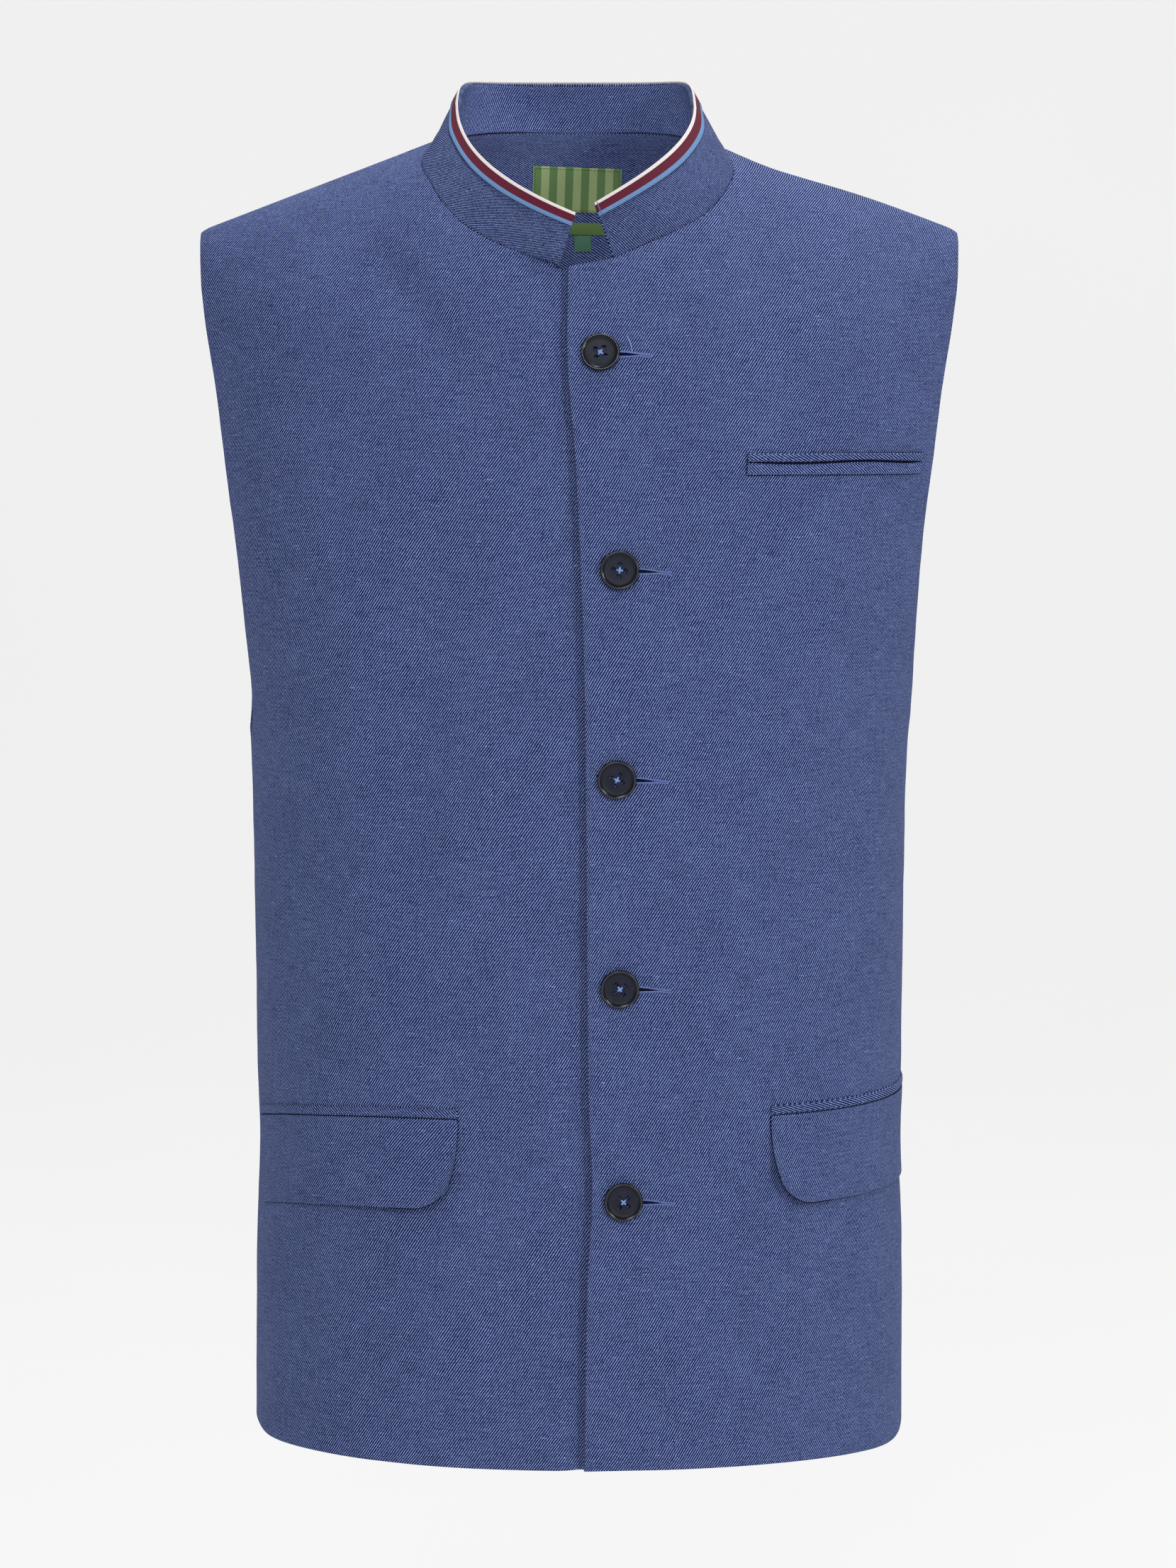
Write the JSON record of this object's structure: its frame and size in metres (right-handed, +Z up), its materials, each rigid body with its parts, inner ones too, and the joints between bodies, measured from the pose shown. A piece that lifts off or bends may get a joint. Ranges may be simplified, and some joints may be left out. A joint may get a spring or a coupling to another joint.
{
  "type": "waistcoat",
  "caption": "Men's band-collared waistcoat in blue twill, buttoned at the front, with a welted chest pocket and flap hip pockets, filled out as if worn with nothing inside.",
  "frame": {"origin": "midway between the two points where the shoulder seams meet the collar, where the wearer's shoulders hold the garment", "axes": "+Z up, the front faces -Y, the wearer's left is +X"},
  "size_m": [0.4066, 0.249, 0.7359],
  "materials": {
    "cloth": "matt linen-blend twill",
    "tape": "striped ribbed tape",
    "button": "polished",
    "label_green": "woven label",
    "tab_olive": "woven tab",
    "tab_teal": "woven tab"
  },
  "bodies": {
    "root": {"front_right": "cloth", "front_left": "cloth", "back": "cloth", "collar": "cloth", "collar_tape": "tape", "back_neck_facing": "cloth", "chest_welt_upper": "cloth", "chest_welt_lower": "cloth", "flap_right": "cloth", "jet_right": "cloth", "flap_left": "cloth", "jet_left": "cloth", "neck_label": "label_green", "fit_tab": "tab_olive", "size_tab": "tab_teal", "button_1": "button", "button_2": "button", "button_3": "button", "button_4": "button", "button_5": "button"}
  },
  "joints": []
}
